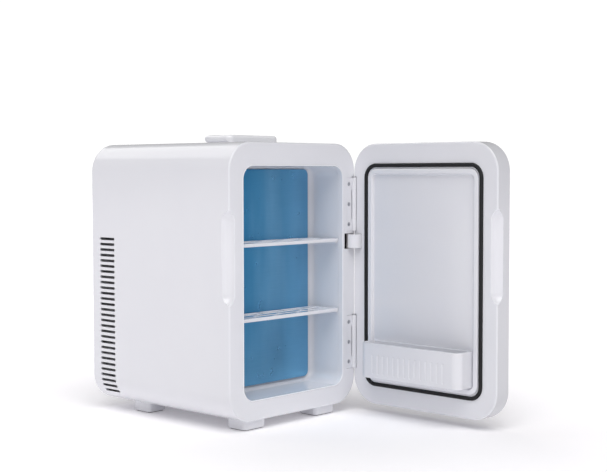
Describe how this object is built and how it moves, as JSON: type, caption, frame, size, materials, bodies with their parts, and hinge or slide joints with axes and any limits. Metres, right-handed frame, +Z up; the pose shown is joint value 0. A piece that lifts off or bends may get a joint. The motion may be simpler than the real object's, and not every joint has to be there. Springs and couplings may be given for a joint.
{
  "type": "mini fridge",
  "caption": "Small upright thermoelectric cooler box with a side-hinged door standing open, slotted shelves, a hung door bin and a fold-down carry handle.",
  "frame": {"origin": "middle of the fridge's box with its door open, on the surface that its feet stand on", "axes": "+Z up, +Y from the open front to the rear, +X towards the hinge side"},
  "size_m": [0.2672, 0.5128, 0.3793],
  "materials": {
    "white_gloss": "gloss",
    "white_satin": "satin",
    "blue_film": "gloss",
    "black_rubber": "matte",
    "black_plastic": "satin",
    "grey_plastic": "satin",
    "foam": "matte",
    "bare_aluminium": "satin",
    "steel": "polished",
    "white_ceramic": "matte",
    "board_green": "satin"
  },
  "bodies": {
    "cabinet": {"outer_shell": "white_gloss", "front_frame": "white_gloss", "inner_liner": "white_satin", "foam_insulation": "foam", "cold_plate": "blue_film", "cold_block": "bare_aluminium", "peltier_module": "white_ceramic", "heat_sink": "bare_aluminium", "fan_housing": "black_plastic", "rear_cover": "white_satin", "mains_inlet": "black_plastic", "dc_socket": "black_plastic", "switch_housing": "black_plastic", "control_board": "board_green", "foot_front_left": "white_satin", "foot_pad_front_left": "black_rubber", "foot_rear_left": "white_satin", "foot_pad_rear_left": "black_rubber", "cover_screw_low_left": "steel", "cover_screw_high_left": "steel", "handle_lug_left": "white_satin", "handle_pin_left": "steel", "foot_front_right": "white_satin", "foot_pad_front_right": "black_rubber", "foot_rear_right": "white_satin", "foot_pad_rear_right": "black_rubber", "cover_screw_low_right": "steel", "cover_screw_high_right": "steel", "handle_lug_right": "white_satin", "handle_pin_right": "steel", "hinge_leaf_upper": "white_satin", "hinge_pin_upper": "steel", "hinge_screw_upper_1": "steel", "hinge_screw_upper_2": "steel", "hinge_screw_upper_3": "steel", "hinge_leaf_lower": "white_satin", "hinge_pin_lower": "steel", "hinge_screw_lower_1": "steel", "hinge_screw_lower_2": "steel", "hinge_screw_lower_3": "steel", "catch_plate": "steel"},
    "door": {"door_shell": "white_gloss", "door_liner": "white_gloss", "door_foam": "foam", "door_gasket": "black_rubber", "door_stay": "white_satin", "door_magnet": "black_plastic", "door_hinge_leaf_upper": "white_satin", "door_hinge_leaf_lower": "white_satin"},
    "bin": {"door_bin": "white_satin"},
    "upper_shelf": {"shelf_upper": "white_satin"},
    "lower_shelf": {"shelf_lower": "white_satin"},
    "handle": {"carry_handle": "white_satin"},
    "fan": {"fan_rotor": "black_plastic"},
    "rocker": {"switch_rocker": "grey_plastic"}
  },
  "joints": [
    {"name": "door_hinge", "type": "hinge", "parent": "cabinet", "child": "door", "pos_m": [0.10315, -0.01912, 0.1908], "axis": [0, 0, 1], "range_deg": [-89, 0]},
    {"name": "bin_lift", "type": "slide", "parent": "door", "child": "bin", "axis": [0, 0, 1], "range_m": [0, 0.015]},
    {"name": "upper_shelf_slide", "type": "slide", "parent": "cabinet", "child": "upper_shelf", "axis": [0, -1, 0], "range_m": [0, 0.045]},
    {"name": "lower_shelf_slide", "type": "slide", "parent": "cabinet", "child": "lower_shelf", "axis": [0, -1, 0], "range_m": [0, 0.045]},
    {"name": "handle_pivot", "type": "hinge", "parent": "cabinet", "child": "handle", "pos_m": [-0.01365, 0.09938, 0.3743], "axis": [-1, 0, 0], "range_deg": [0, 90]},
    {"name": "fan_spin", "type": "hinge", "parent": "cabinet", "child": "fan", "pos_m": [-0.01365, 0.23638, 0.1883], "axis": [0, 1, 0], "continuous": true},
    {"name": "switch_tilt", "type": "hinge", "parent": "cabinet", "child": "rocker", "pos_m": [-0.07565, 0.24838, 0.0613], "axis": [1, 0, 0], "range_deg": [-12, 12]}
  ]
}
